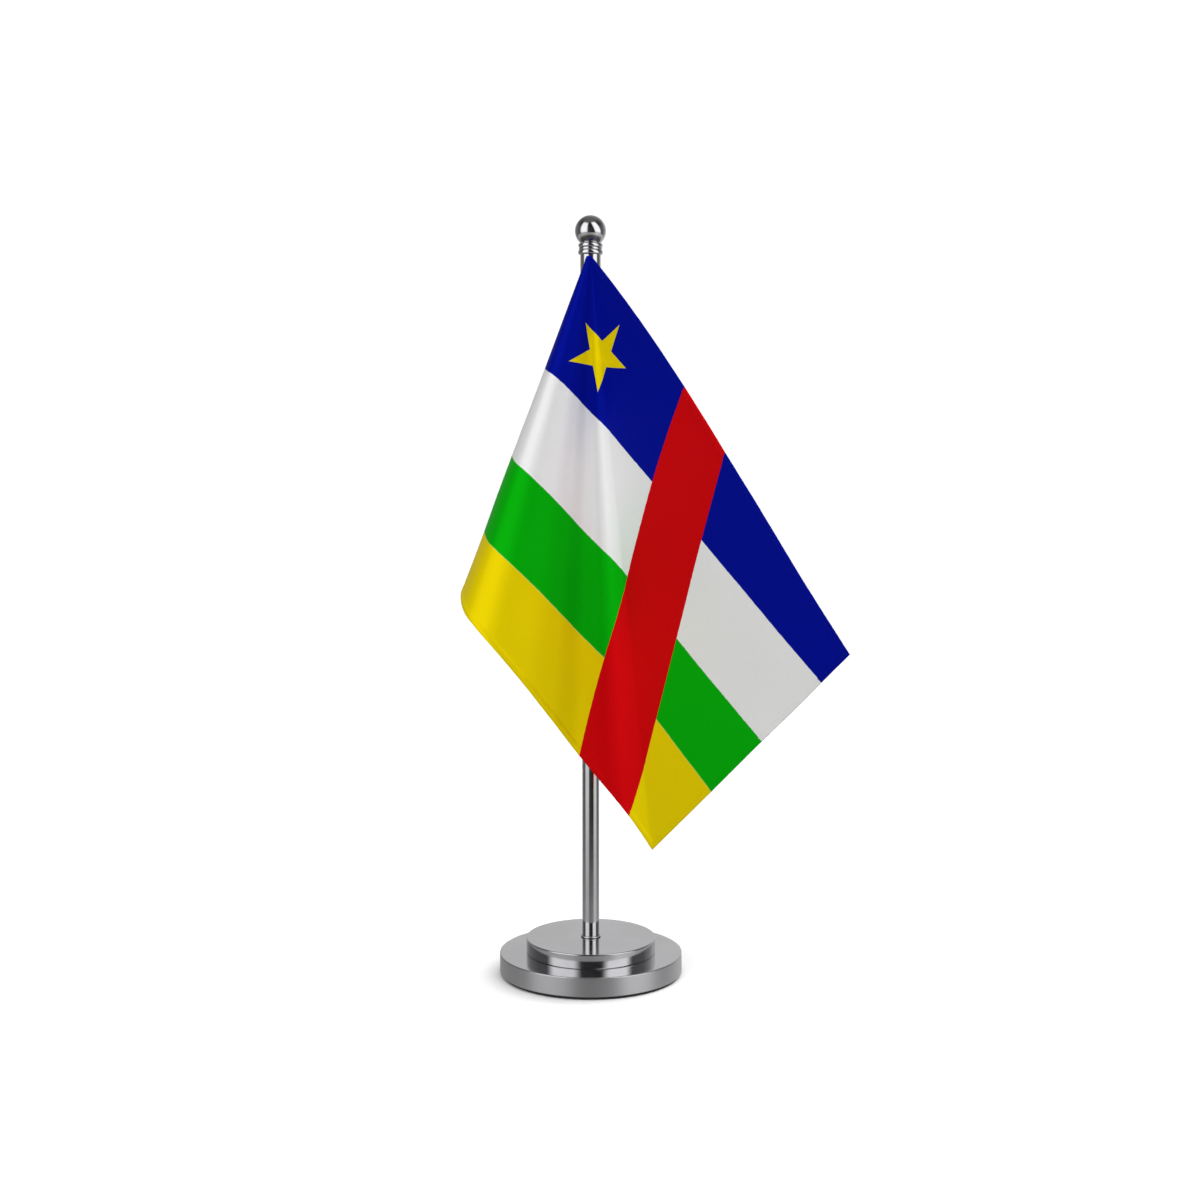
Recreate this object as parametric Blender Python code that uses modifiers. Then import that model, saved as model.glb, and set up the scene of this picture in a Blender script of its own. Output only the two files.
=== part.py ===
"""Desk flag stand: a chromed tube on a stepped round base, with a ball finial and a satin flag.

Metres, +Z up. The origin is the centre of the pad's underside, on the pole's axis. The flag turns
on the tube, and its face looks to -Y.
"""

import math

import bmesh
import bpy
from mathutils import Vector

MM = 0.001

# Gaps that every fit is made from.
FIT_GAP = 0.25 * MM  # radial, between a bore and what it holds
SEAT_GAP = 0.2 * MM  # along the axis, between two stacked faces

# Base.
PAD_INSET = 1.0 * MM  # of the pad's edge from the lower disc's
PAD_THICKNESS = 1.0 * MM
LOWER_DISC_DIAMETER = 86.0 * MM
LOWER_DISC_HEIGHT = 9.25 * MM
UPPER_DISC_DIAMETER = 61.0 * MM
UPPER_DISC_HEIGHT = 6.7 * MM
DISC_CHAMFER = 0.35 * MM
SCREW_POCKET_DIAMETER = 17.0 * MM
SCREW_POCKET_DEPTH = 5.6 * MM

# Clamping screw and its washers.
THREAD_DIAMETER = 4.0 * MM
SCREW_HEAD_DIAMETER = 7.0 * MM
SCREW_HEAD_HEIGHT = 2.8 * MM
SCREW_SOCKET_ACROSS_CORNERS = 2.9 * MM
SCREW_SOCKET_DEPTH = 1.5 * MM
SCREW_CHAMFER = 0.3 * MM
SCREW_ENGAGEMENT = 12.0 * MM  # length of thread inside the pole
FLAT_WASHER_DIAMETER = 13.0 * MM
FLAT_WASHER_THICKNESS = 0.8 * MM
LOCK_WASHER_DIAMETER = 7.4 * MM
LOCK_WASHER_THICKNESS = 0.9 * MM
LOCK_WASHER_SPLIT = 0.7 * MM

# Pole.
POLE_DIAMETER = 8.0 * MM
POLE_WALL = 0.7 * MM
POLE_LENGTH = 310.75 * MM
POLE_SOCKET_DEPTH = 3.0 * MM
SEAT_RING_WIDTH = 0.45 * MM
SEAT_RING_HEIGHT = 0.6 * MM
SEAT_RING_CHAMFER = 0.2 * MM
INSERT_LENGTH = 16.0 * MM

# Finial: a threaded stud, a ferrule with three beads, and a ball.
STUD_ENGAGEMENT = 12.0 * MM
FERRULE_OVERHANG = 0.025 * MM  # of the skirt beyond the sleeve under it, in radius
FERRULE_SKIRT_HEIGHT = 8.6 * MM
FERRULE_CHAMFER = 0.3 * MM
FERRULE_GROOVE_STEP = 0.375 * MM  # of the grooves between the beads beyond the skirt, in radius
FERRULE_BEADS = (  # height, and bulge beyond the grooves, from the skirt up
    (2.15 * MM, 0.6 * MM),
    (1.15 * MM, 0.25 * MM),
    (1.8 * MM, 0.5 * MM),
)
BEAD_POINTS = 5
BALL_DIAMETER = 14.2 * MM
BALL_FLAT_DIAMETER = 9.2 * MM
BALL_BORE_DEPTH = 5.0 * MM
BALL_ROWS = 12

# Flag.
FLAG_HOIST = 150.0 * MM  # the side along the pole
FLAG_FLY = 225.0 * MM  # the long side
CLOTH_THICKNESS = 0.5 * MM
SLEEVE_THICKNESS = 0.4 * MM
EYELET_SHEET = 0.3 * MM  # thickness of the eyelet's metal
EYELET_FLANGE_WIDTH = 0.9 * MM
CORNER_ABOVE_FERRULE_FOOT = 7.8 * MM  # how far the free top corner stands in front of the ferrule
CLOTH_CLEARANCE = 0.7 * MM  # between the cloth and the ferrule or sleeve that it passes
FOLD_LOOP_RADIUS = 1.4 * MM  # of the fold where it starts, at the top corner
FOLD_LOOP_SPAN = 8.0  # degrees of cloth angle on either side of the fold
CORNER_TRIM = 5.0 * MM  # the cloth solid starts this far from the corner
TOP_EDGE_BOW = 3.7 * MM  # how far the top edge bends outwards, a third of the way along it

# The way that the cloth takes round the top corner: from the hoist on the pole along the hidden
# back to the fold at the left, and from there past the pole's front to the bottom fly corner. Each
# direction is (degrees sideways, degrees forward) away from straight down.
BACK_DIRECTIONS = (
    (0.0, 0.0),
    (-9.0, -0.4),
    (-17.2, -0.7),
)
FRONT_DIRECTIONS = (
    (-20.5, 0.6),
    (-20.1, 5.0),
    (-18.3, 8.6),
    (-14.4, 10.0),
    (-9.5, 9.1),
    (-5.0, 7.0),
    (-1.2, 4.9),
    (2.4, 3.9),
)
FLY_BOTTOM_DIRECTION = (5.95, 5.43)
FLY_TOP_DIRECTION = (32.01, 28.33)

# How finely the cloth is divided.
CLOTH_ROWS = 6
PIECES_PER_DIRECTION = 10
FLAT_PANEL_PIECES = 8
FULLNESS_LOWEST = 0.0  # the depth of the hidden back is sought between these two
FULLNESS_HIGHEST = 20.0
FULLNESS_TRIES = 50

DISC_STEPS = 64
RING_STEPS = 36
SMALL_STEPS = 24

PARTS = "desk_flag_stand"
CUTTERS = "cutters"

POLE_RADIUS = POLE_DIAMETER / 2
POLE_BORE_RADIUS = POLE_RADIUS - POLE_WALL
THREAD_RADIUS = THREAD_DIAMETER / 2
THREAD_BORE_RADIUS = THREAD_RADIUS + FIT_GAP
SLEEVE_BORE_RADIUS = POLE_RADIUS + FIT_GAP
SLEEVE_RADIUS = SLEEVE_BORE_RADIUS + SLEEVE_THICKNESS
FERRULE_SKIRT_RADIUS = SLEEVE_RADIUS + FERRULE_OVERHANG

# Heights of the stack, from the table up.
LOWER_DISC_Z = PAD_THICKNESS + SEAT_GAP
UPPER_DISC_Z = LOWER_DISC_Z + LOWER_DISC_HEIGHT + SEAT_GAP
BASE_TOP_Z = UPPER_DISC_Z + UPPER_DISC_HEIGHT
POLE_Z = BASE_TOP_Z - POLE_SOCKET_DEPTH + SEAT_GAP
POLE_TOP_Z = POLE_Z + POLE_LENGTH
EYELET_Z = POLE_TOP_Z + SEAT_GAP
EYELET_HEIGHT = 2 * EYELET_SHEET + SLEEVE_THICKNESS + 2 * SEAT_GAP
SLEEVE_TOP_Z = EYELET_Z + EYELET_SHEET + SEAT_GAP + SLEEVE_THICKNESS
FERRULE_Z = EYELET_Z + EYELET_HEIGHT + SEAT_GAP
FERRULE_HEIGHT = FERRULE_SKIRT_HEIGHT + sum(height for height, bulge in FERRULE_BEADS)
BALL_Z = FERRULE_Z + FERRULE_HEIGHT + SEAT_GAP
FLAG_TOP_Z = FERRULE_Z + CORNER_ABOVE_FERRULE_FOOT


def remove_everything():
    for obj in list(bpy.data.objects):
        bpy.data.objects.remove(obj)
    for collection in list(bpy.data.collections):
        bpy.data.collections.remove(collection)


def new_collection(name):
    collection = bpy.data.collections.new(name)
    bpy.context.scene.collection.children.link(collection)
    return collection


def material(name, colour, roughness, metallic):
    made = bpy.data.materials.new(name)
    made.use_nodes = True
    shader = made.node_tree.nodes["Principled BSDF"]
    shader.inputs["Base Color"].default_value = (*colour, 1.0)
    shader.inputs["Roughness"].default_value = roughness
    shader.inputs["Metallic"].default_value = metallic
    return made


def add_object(name, mesh, finish, place=(0, 0, 0), parent=None):
    """A named sub-part in the object's collection."""
    obj = bpy.data.objects.new(name, mesh)
    bpy.data.collections[PARTS].objects.link(obj)
    obj.location = place
    obj.parent = parent
    if finish:
        mesh.materials.append(finish)
    return obj


def turned(name, outline, steps, finish, z=0.0, parent=None):
    """A turned piece. Its outline is (radius, height) from the top, down the outer side.

    An outline that starts and ends on the axis makes a solid, and any other is closed to a ring.
    """
    mesh = bpy.data.meshes.new(name)
    points = [(radius, 0.0, height) for radius, height in outline]
    edges = [(i, i + 1) for i in range(len(points) - 1)]
    solid = outline[0][0] == 0 and outline[-1][0] == 0
    if not solid:
        edges.append((len(points) - 1, 0))
    mesh.from_pydata(points, edges, [])
    obj = add_object(name, mesh, finish, (0, 0, z), parent)
    screw = obj.modifiers.new("Turn", "SCREW")
    screw.axis = "Z"
    screw.angle = 2 * math.pi
    screw.steps = steps
    screw.render_steps = steps
    screw.use_merge_vertices = True
    screw.merge_threshold = 0.00001
    screw.use_smooth_shade = True
    return obj


def empty(name, place):
    """A joint's axis, which the moving pieces hang from."""
    axis = bpy.data.objects.new(name, None)
    bpy.data.collections[PARTS].objects.link(axis)
    axis.location = place
    axis.empty_display_size = 0.01
    return axis


def cutter(name, build, place):
    """A hidden solid that cuts others; build fills its bmesh."""
    mesh = bpy.data.meshes.new(name)
    form = bmesh.new()
    build(form)
    form.to_mesh(mesh)
    form.free()
    obj = bpy.data.objects.new(name, mesh)
    bpy.data.collections[CUTTERS].objects.link(obj)
    obj.location = place
    obj.display_type = "WIRE"
    obj.hide_render = True
    return obj


def cut(obj, tool):
    boolean = obj.modifiers.new("Cut", "BOOLEAN")
    boolean.operation = "DIFFERENCE"
    boolean.solver = "EXACT"
    boolean.object = tool


def ring_outline(inner, outer, height, chamfer=0.0):
    """A ring that stands on height 0, with a chamfer round its top if that isn't 0."""
    edge = [(outer - chamfer, height)] if chamfer else []
    return [*edge, (outer, height - chamfer), (outer, 0.0), (inner, 0.0), (inner, height)]


def make_pad(felt):
    radius = LOWER_DISC_DIAMETER / 2 - PAD_INSET
    outline = [(0, PAD_THICKNESS), (radius, PAD_THICKNESS), (radius, 0), (0, 0)]
    turned("base_pad", outline, DISC_STEPS, felt)


def make_lower_disc(steel):
    radius = LOWER_DISC_DIAMETER / 2
    pocket = SCREW_POCKET_DIAMETER / 2
    outline = [
        (radius - DISC_CHAMFER, LOWER_DISC_HEIGHT),
        (radius, LOWER_DISC_HEIGHT - DISC_CHAMFER),
        (radius, DISC_CHAMFER),
        (radius - DISC_CHAMFER, 0),
        (pocket, 0),
        (pocket, SCREW_POCKET_DEPTH),
        (THREAD_BORE_RADIUS, SCREW_POCKET_DEPTH),
        (THREAD_BORE_RADIUS, LOWER_DISC_HEIGHT),
    ]
    turned("base_lower_disc", outline, DISC_STEPS, steel, LOWER_DISC_Z)


def make_upper_disc(steel):
    radius = UPPER_DISC_DIAMETER / 2
    socket = POLE_RADIUS + FIT_GAP
    floor = UPPER_DISC_HEIGHT - POLE_SOCKET_DEPTH
    outline = [
        (radius - DISC_CHAMFER, UPPER_DISC_HEIGHT),
        (radius, UPPER_DISC_HEIGHT - DISC_CHAMFER),
        (radius, DISC_CHAMFER),
        (radius - DISC_CHAMFER, 0),
        (THREAD_BORE_RADIUS, 0),
        (THREAD_BORE_RADIUS, floor),
        (socket, floor),
        (socket, UPPER_DISC_HEIGHT),
    ]
    turned("base_upper_disc", outline, DISC_STEPS, steel, UPPER_DISC_Z)


def make_base_fastening(zinc):
    """The screw from below, with a lock washer and a flat washer under its head."""
    washer_z = LOWER_DISC_Z + SCREW_POCKET_DEPTH - SEAT_GAP - FLAT_WASHER_THICKNESS
    flat = ring_outline(THREAD_BORE_RADIUS, FLAT_WASHER_DIAMETER / 2, FLAT_WASHER_THICKNESS)
    turned("base_flat_washer", flat, RING_STEPS, zinc, washer_z)

    lock_z = washer_z - SEAT_GAP - LOCK_WASHER_THICKNESS
    split = ring_outline(THREAD_BORE_RADIUS, LOCK_WASHER_DIAMETER / 2, LOCK_WASHER_THICKNESS)
    lock = turned("base_lock_washer", split, SMALL_STEPS, zinc, lock_z)
    length = LOCK_WASHER_DIAMETER
    gap_box = cutter(
        "cut_lock_washer",
        lambda form: bmesh.ops.create_cube(form, size=1.0),
        (length / 2, 0, lock_z + LOCK_WASHER_THICKNESS / 2),
    )
    for corner in gap_box.data.vertices:
        corner.co.x *= length
        corner.co.y *= LOCK_WASHER_SPLIT
        corner.co.z *= 2 * LOCK_WASHER_THICKNESS
    cut(lock, gap_box)

    head_z = lock_z - SEAT_GAP - SCREW_HEAD_HEIGHT
    tip = POLE_Z + SCREW_ENGAGEMENT - head_z
    head = SCREW_HEAD_DIAMETER / 2
    chamfer = SCREW_CHAMFER
    outline = [
        (0, tip),
        (THREAD_RADIUS - chamfer, tip),
        (THREAD_RADIUS, tip - chamfer),
        (THREAD_RADIUS, SCREW_HEAD_HEIGHT),
        (head, SCREW_HEAD_HEIGHT),
        (head, chamfer),
        (head - chamfer, 0),
        (0, 0),
    ]
    screw = turned("base_screw", outline, SMALL_STEPS, zinc, head_z)

    def socket(form):
        bmesh.ops.create_cone(
            form,
            cap_ends=True,
            segments=6,
            radius1=SCREW_SOCKET_ACROSS_CORNERS / 2,
            radius2=SCREW_SOCKET_ACROSS_CORNERS / 2,
            depth=2 * SCREW_SOCKET_DEPTH,
        )

    cut(screw, cutter("cut_screw_socket", socket, (0, 0, head_z)))


def make_pole(chrome, brass):
    tube = ring_outline(POLE_BORE_RADIUS, POLE_RADIUS, POLE_LENGTH)
    turned("pole_tube", tube, RING_STEPS, chrome, POLE_Z)
    ring_bore = POLE_RADIUS + FIT_GAP
    ring_edge = ring_bore + SEAT_RING_WIDTH
    ring = ring_outline(ring_bore, ring_edge, SEAT_RING_HEIGHT, SEAT_RING_CHAMFER)
    turned("pole_seat_ring", ring, RING_STEPS, chrome, BASE_TOP_Z + SEAT_GAP)
    insert = ring_outline(THREAD_BORE_RADIUS, POLE_BORE_RADIUS - FIT_GAP, INSERT_LENGTH)
    turned("pole_bottom_insert", insert, SMALL_STEPS, brass, POLE_Z)
    turned("pole_top_insert", insert, SMALL_STEPS, brass, POLE_TOP_Z - INSERT_LENGTH)


def bead(middle, half_height, radius, bulge):
    """A round bead on a turned outline, from its top to its bottom."""
    angles = [math.pi * i / (BEAD_POINTS + 1) for i in range(1, BEAD_POINTS + 1)]
    return [(radius + bulge * math.sin(a), middle + half_height * math.cos(a)) for a in angles]


def ferrule_outline():
    """The ferrule's outline from its top, over the beads and down the skirt to its bore."""
    groove = FERRULE_SKIRT_RADIUS + FERRULE_GROOVE_STEP
    top = FERRULE_HEIGHT
    outline = [(groove, top)]
    for height, bulge in reversed(FERRULE_BEADS):
        outline += bead(top - height / 2, height / 2, groove, bulge)
        top -= height
        outline.append((groove, top))
    return [
        *outline,
        (FERRULE_SKIRT_RADIUS, FERRULE_SKIRT_HEIGHT),
        (FERRULE_SKIRT_RADIUS, FERRULE_CHAMFER),
        (FERRULE_SKIRT_RADIUS - FERRULE_CHAMFER, 0),
        (THREAD_BORE_RADIUS, 0),
        (THREAD_BORE_RADIUS, FERRULE_HEIGHT),
    ]


def make_finial(chrome, zinc):
    stud_length = STUD_ENGAGEMENT + BALL_Z - POLE_TOP_Z + BALL_BORE_DEPTH - SEAT_GAP
    stud_axis = empty("finial_rise_axis", (0, 0, POLE_TOP_Z))
    stud = [(0, stud_length), (THREAD_RADIUS, stud_length), (THREAD_RADIUS, 0), (0, 0)]
    turned("finial_stud", stud, SMALL_STEPS, zinc, -STUD_ENGAGEMENT, stud_axis)

    turn_axis = empty("finial_turn_axis", (0, 0, FERRULE_Z))
    turned("finial_ferrule", ferrule_outline(), RING_STEPS, chrome, 0, turn_axis)

    radius = BALL_DIAMETER / 2
    flat = BALL_FLAT_DIAMETER / 2
    centre = math.sqrt(radius**2 - flat**2)
    last = math.pi - math.asin(flat / radius)
    angles = [last * i / BALL_ROWS for i in range(BALL_ROWS + 1)]
    ball = [(radius * math.sin(a), centre + radius * math.cos(a)) for a in angles]
    ball[0] = (0, centre + radius)
    ball[-1] = (flat, 0)
    bore = [(THREAD_BORE_RADIUS, 0), (THREAD_BORE_RADIUS, BALL_BORE_DEPTH), (0, BALL_BORE_DEPTH)]
    turned("finial_ball", ball + bore, RING_STEPS, chrome, BALL_Z - FERRULE_Z, turn_axis)


def direction(sideways, forward):
    """The unit vector that is so many degrees sideways and forward of straight down."""
    a = math.radians(sideways)
    b = math.radians(forward)
    return Vector((math.sin(a) * math.cos(b), -math.sin(b), -math.cos(a) * math.cos(b)))


def smooth_path(points, pieces):
    """A Catmull-Rom curve through all points but the first and the last."""
    path = []
    for before, start, end, after in zip(points, points[1:], points[2:], points[3:]):
        for i in range(pieces):
            t = i / pieces
            path.append(tuple(
                0.5 * (2 * p1 + (p2 - p0) * t + (2 * p0 - 5 * p1 + 4 * p2 - p3) * t**2
                       + (3 * p1 - p0 - 3 * p2 + p3) * t**3)
                for p0, p1, p2, p3 in zip(before, start, end, after)
            ))
    path.append(points[-2])
    return path


def folded_directions(fullness):
    """Directions from the hoist to the bottom fly corner, with the back's depth times fullness."""
    back = [(side, forward * fullness) for side, forward in BACK_DIRECTIONS]
    first = tuple(2 * a - b for a, b in zip(back[0], back[1]))
    beyond = tuple(a + (b - a) / 4 for a, b in zip(FLY_BOTTOM_DIRECTION, FLY_TOP_DIRECTION))
    points = [first, *back, *FRONT_DIRECTIONS, FLY_BOTTOM_DIRECTION, beyond]
    path = smooth_path(points, PIECES_PER_DIRECTION)
    return [direction(*point) for point in path]


def turned_through(directions):
    """The cloth angle at each direction, counted from the first."""
    angles = [0.0]
    for one, other in zip(directions, directions[1:]):
        angles.append(angles[-1] + one.angle(other))
    return angles


def cloth_rulings(corner_angle):
    """Pairs of cloth angle and direction round the top corner, as far as the fly's top edge.

    The hidden back is made as deep as the cloth needs: the angle at the bottom fly corner is the
    flag's own, so the cloth lies in its folds without stretching.
    """
    low = FULLNESS_LOWEST
    high = FULLNESS_HIGHEST
    for _ in range(FULLNESS_TRIES):
        fullness = (low + high) / 2
        folded = folded_directions(fullness)
        if turned_through(folded)[-1] < corner_angle:
            low = fullness
        else:
            high = fullness
    rulings = list(zip(turned_through(folded), folded))
    start = direction(*FLY_BOTTOM_DIRECTION)
    end = direction(*FLY_TOP_DIRECTION)
    span = start.angle(end)
    for i in range(1, FLAT_PANEL_PIECES + 1):
        share = i / FLAT_PANEL_PIECES
        rest = math.pi / 2 - corner_angle
        turn = start * math.sin((1 - share) * span) + end * math.sin(share * span)
        rulings.append((corner_angle + share * rest, turn.normalized()))
    return rulings


def outwards():
    """The unit vector square to the top edge, in the flat panel and away from it."""
    bottom = direction(*FLY_BOTTOM_DIRECTION)
    top = direction(*FLY_TOP_DIRECTION)
    return (top * bottom.dot(top) - bottom).normalized()


def top_edge_bow(across, along):
    """How far the cloth bends outwards: across is 1 at the top edge, along is 1 at the fly."""
    most_at_a_third = 27 / 4 * along * (1 - along) ** 2
    return TOP_EDGE_BOW * across**2 * most_at_a_third


def make_cloth(satin, parent):
    """The flag's cloth: straight rulings from its top corner, folded once behind itself."""
    corner_angle = math.atan2(FLAG_FLY, FLAG_HOIST)
    rulings = cloth_rulings(corner_angle)
    back = -(FERRULE_SKIRT_RADIUS + CLOTH_THICKNESS / 2 + CLOTH_CLEARANCE)
    fold_angle = min(rulings, key=lambda ruling: ruling[1].x)[0]
    loop_span = math.radians(FOLD_LOOP_SPAN)
    form = bmesh.new()
    columns = []
    for angle, aim in rulings:
        share = min(1.0, max(0.0, (angle - fold_angle + loop_span) / (2 * loop_span)))
        step = FOLD_LOOP_RADIUS * (1 - math.cos(math.pi * share))
        bulge = FOLD_LOOP_RADIUS * math.sin(math.pi * share)
        start = Vector((-bulge, back - step, 0))
        if angle <= corner_angle:
            reach = FLAG_HOIST / math.cos(angle)
        else:
            reach = FLAG_FLY / math.sin(angle)
        across = max(0.0, (angle - corner_angle) / (math.pi / 2 - corner_angle))
        column = []
        for row in range(CLOTH_ROWS + 1):
            distance = CORNER_TRIM + (reach - CORNER_TRIM) * row / CLOTH_ROWS
            bow = top_edge_bow(across, distance / reach)
            column.append(form.verts.new(start + aim * distance + outwards() * bow))
        columns.append(column)
    for left, right in zip(columns, columns[1:]):
        for row in range(CLOTH_ROWS):
            form.faces.new((left[row], left[row + 1], right[row + 1], right[row]))
    mesh = bpy.data.meshes.new("flag_cloth")
    form.to_mesh(mesh)
    form.free()
    mesh.shade_smooth()
    cloth = add_object("flag_cloth", mesh, satin, (0, 0, 0), parent)
    solidify = cloth.modifiers.new("Thickness", "SOLIDIFY")
    solidify.thickness = CLOTH_THICKNESS
    solidify.offset = 0


def make_flag(satin, white_satin, brass):
    axis = empty("flag_swivel_axis", (0, 0, FLAG_TOP_Z))
    make_cloth(satin, axis)

    inner = SLEEVE_BORE_RADIUS
    outer = SLEEVE_RADIUS
    bottom = -FLAG_HOIST
    top = SLEEVE_TOP_Z - FLAG_TOP_Z
    barrel_outer = THREAD_BORE_RADIUS + EYELET_SHEET
    hole = barrel_outer + FIT_GAP
    sleeve = [
        (hole, top),
        (outer, top),
        (outer, bottom),
        (inner, bottom),
        (inner, top - SLEEVE_THICKNESS),
        (hole, top - SLEEVE_THICKNESS),
    ]
    turned("flag_sleeve", sleeve, RING_STEPS, white_satin, 0, axis)

    flange = barrel_outer + EYELET_FLANGE_WIDTH
    eyelet = [
        (flange, EYELET_HEIGHT),
        (flange, EYELET_HEIGHT - EYELET_SHEET),
        (barrel_outer, EYELET_HEIGHT - EYELET_SHEET),
        (barrel_outer, EYELET_SHEET),
        (flange, EYELET_SHEET),
        (flange, 0),
        (THREAD_BORE_RADIUS, 0),
        (THREAD_BORE_RADIUS, EYELET_HEIGHT),
    ]
    turned("sleeve_eyelet", eyelet, SMALL_STEPS, brass, EYELET_Z - FLAG_TOP_Z, axis)


def main():
    remove_everything()
    new_collection(PARTS)
    new_collection(CUTTERS)
    steel = material("brushed_steel", (0.55, 0.55, 0.56), 0.32, 1.0)
    chrome = material("chrome", (0.62, 0.62, 0.63), 0.08, 1.0)
    zinc = material("zinc_plate", (0.52, 0.52, 0.50), 0.4, 1.0)
    brass = material("brass", (0.72, 0.55, 0.25), 0.35, 1.0)
    felt = material("black_felt", (0.02, 0.02, 0.02), 0.95, 0.0)
    satin = material("printed_satin", (0.05, 0.06, 0.42), 0.45, 0.0)
    white_satin = material("white_satin", (0.8, 0.8, 0.8), 0.5, 0.0)
    make_pad(felt)
    make_lower_disc(steel)
    make_upper_disc(steel)
    make_base_fastening(zinc)
    make_pole(chrome, brass)
    make_finial(chrome, zinc)
    make_flag(satin, white_satin, brass)


main()
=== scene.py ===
"""Looks of the desk flag stand: turned and polished metal, a black felt pad whose rim also paints
the shade at the base's foot, and a printed satin flag.

Metres, in the frame of the CAD model: +Z up the pole, and the flag's face looks to -Y.
"""

import bisect
import math

import bmesh
import bpy
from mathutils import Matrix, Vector, noise


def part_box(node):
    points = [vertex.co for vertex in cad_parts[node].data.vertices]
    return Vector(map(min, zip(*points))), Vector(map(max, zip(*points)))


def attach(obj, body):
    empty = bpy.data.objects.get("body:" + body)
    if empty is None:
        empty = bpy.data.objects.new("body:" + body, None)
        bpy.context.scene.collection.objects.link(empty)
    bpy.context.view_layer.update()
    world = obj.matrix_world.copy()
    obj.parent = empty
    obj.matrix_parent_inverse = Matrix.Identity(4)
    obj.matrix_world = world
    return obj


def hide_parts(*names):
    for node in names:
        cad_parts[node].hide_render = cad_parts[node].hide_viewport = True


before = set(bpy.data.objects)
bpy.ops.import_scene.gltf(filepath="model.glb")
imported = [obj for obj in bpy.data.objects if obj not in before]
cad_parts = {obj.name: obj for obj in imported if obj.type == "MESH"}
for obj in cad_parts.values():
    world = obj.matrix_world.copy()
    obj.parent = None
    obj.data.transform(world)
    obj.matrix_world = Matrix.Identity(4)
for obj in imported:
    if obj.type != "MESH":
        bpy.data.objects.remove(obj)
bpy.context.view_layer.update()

MM = 0.001

# Camera.
CAMERA_PLACE = (0.004332, -0.843966, 0.262756)
CAMERA_PITCH = 84.225  # degrees from straight down
CAMERA_LENS = 54.723
CAMERA_SENSOR = 36.0

AMBIENT_LIGHT = 0.16  # the even light that matt surfaces get from the studio

# Turned metal.
TURN_STEPS = 192
SMALL_TURN_STEPS = 96
DISC_EDGE = 0.45 * MM  # rounding of the discs' rims
DISC_SUNK = 0.19 * MM  # of the upper disc, so that it meets the lower one
SCREW_POCKET_DIAMETER = 17.0 * MM
SEAT_GAP = 0.2 * MM
POLE_CLEARANCE = 0.25 * MM
POLE_WALL = 0.7 * MM
FERRULE_SKIRT_DIAMETER = 9.35 * MM
FERRULE_SKIRT_HEIGHT = 8.6 * MM
GROOVE_DIAMETER = 10.1 * MM
BEADS = (  # (height, largest diameter) of the ferrule's beads, from the skirt up
    (2.15 * MM, 11.3 * MM),
    (1.15 * MM, 10.6 * MM),
    (1.8 * MM, 11.1 * MM),
)
BEAD_FULLNESS = 0.8  # 1 is a half circle's outline, and less is fuller
BEAD_POINTS = 14
BORE_DIAMETER = 4.5 * MM
BALL_DIAMETER = 14.2 * MM
BALL_FLAT_DIAMETER = 9.2 * MM
BALL_BORE_DEPTH = 5.0 * MM
BALL_ROWS = 64
EYELET_SHEET = 0.3 * MM
THREAD_DIAMETER = 4.0 * MM
THREAD_PITCH = 0.7 * MM
THREAD_DEPTH = 0.38 * MM
THREAD_RINGS = 420

# Flag. Its own flat measures: x runs from the hoist to the fly, and y runs down from the top edge.
FLAG_HOIST = 150.0 * MM
FLAG_FLY = 225.0 * MM
CLOTH_THICKNESS = 0.25 * MM
CORNER_ABOVE_FERRULE_FOOT = 7.8 * MM
TOP_EDGE_BOW = 3.7 * MM  # how far the top edge bends outwards, a third of the way along it
CLOTH_STANDS_OFF = 0.95 * MM  # the cloth's middle, in front of the ferrule's skirt
FOLD_LOOP_RADIUS = 1.4 * MM
FOLD_LOOP_SPAN = 8.0  # degrees of cloth angle, to each side of the fold
# Where the cloth runs from its top corner, in (degrees sideways, degrees forward) of straight down:
# behind, from the hoist to the fold, then in front, and last along the flat panel's two sides.
BACK_DIRECTIONS = (
    (0.0, 0.0),
    (-9.0, -0.4),
    (-17.2, -0.7),
)
FRONT_DIRECTIONS = (
    (-20.5, 0.6),
    (-20.1, 5.0),
    (-18.3, 8.6),
    (-14.4, 10.0),
    (-9.5, 9.1),
    (-5.0, 7.0),
    (-1.2, 4.9),
    (2.4, 3.9),
)
FLY_BOTTOM_DIRECTION = (5.95, 5.43)
FLY_TOP_DIRECTION = (32.01, 28.33)
MOST_FULLNESS = 20.0  # of the back, whose depth is solved so that the cloth isn't stretched
FULLNESS_TRIES = 40
PIECES_PER_SPAN = 24
FLAT_COLUMNS = 90
CLOTH_ROWS = 84
CORNER_START = 0.5 * MM
WAVE_LENGTH = 34 * MM
WAVE_HEIGHT = 0.35 * MM
PUCKER_LENGTH = 5 * MM
PUCKER_HEIGHT = 0.10 * MM

# Hems and their stitches.
HEM_WIDTH = 2.6 * MM
HEM_THICKNESS = 0.55 * MM
HEM_STEP = 0.35 * MM  # half the width of the step at the hem's inner edge
STITCH_LINE = 1.9 * MM  # from the cloth's edge
STITCH_SPACING = 2.5 * MM
STITCH_LENGTH = 1.9 * MM
STITCH_WIDTH = 0.17 * MM
SEAM_INSET = 1.6 * MM  # of the row that holds the cloth to the sleeve
SLEEVE_HEM_STITCHES = 2.2 * MM  # above the sleeve's foot

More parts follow.
